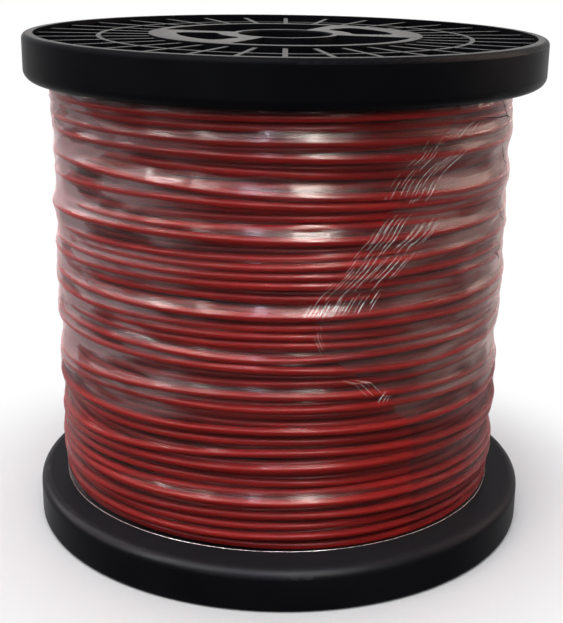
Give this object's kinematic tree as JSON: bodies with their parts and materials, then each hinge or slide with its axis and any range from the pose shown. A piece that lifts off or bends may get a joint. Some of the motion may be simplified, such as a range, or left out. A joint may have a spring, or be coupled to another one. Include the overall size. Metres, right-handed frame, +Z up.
{
  "type": "wire spool",
  "caption": "Flanged plastic spool with ribbed, windowed ends and an arbor bore, full of red insulated wire under clear wrapped film.",
  "frame": {"origin": "centre of the base, on the axis, at the lower flange's resting face", "axes": "+Z up along the arbor bore; -Y towards the picture's viewer; +X to the viewer's right"},
  "size_m": [0.2, 0.2, 0.194],
  "materials": {
    "black_plastic": "satin moulded polystyrene with a faint grain",
    "red_insulation": "smooth extruded insulation, slightly glossy",
    "clear_film": "clear glossy stretch film, wrinkled"
  },
  "bodies": {
    "root": {"lower_flange": "black_plastic", "upper_flange": "black_plastic", "barrel": "black_plastic", "arbor_tube": "black_plastic", "wire_inner_layers": "red_insulation", "wire_outer_layer": "red_insulation", "film_wrap": "clear_film"}
  },
  "joints": []
}
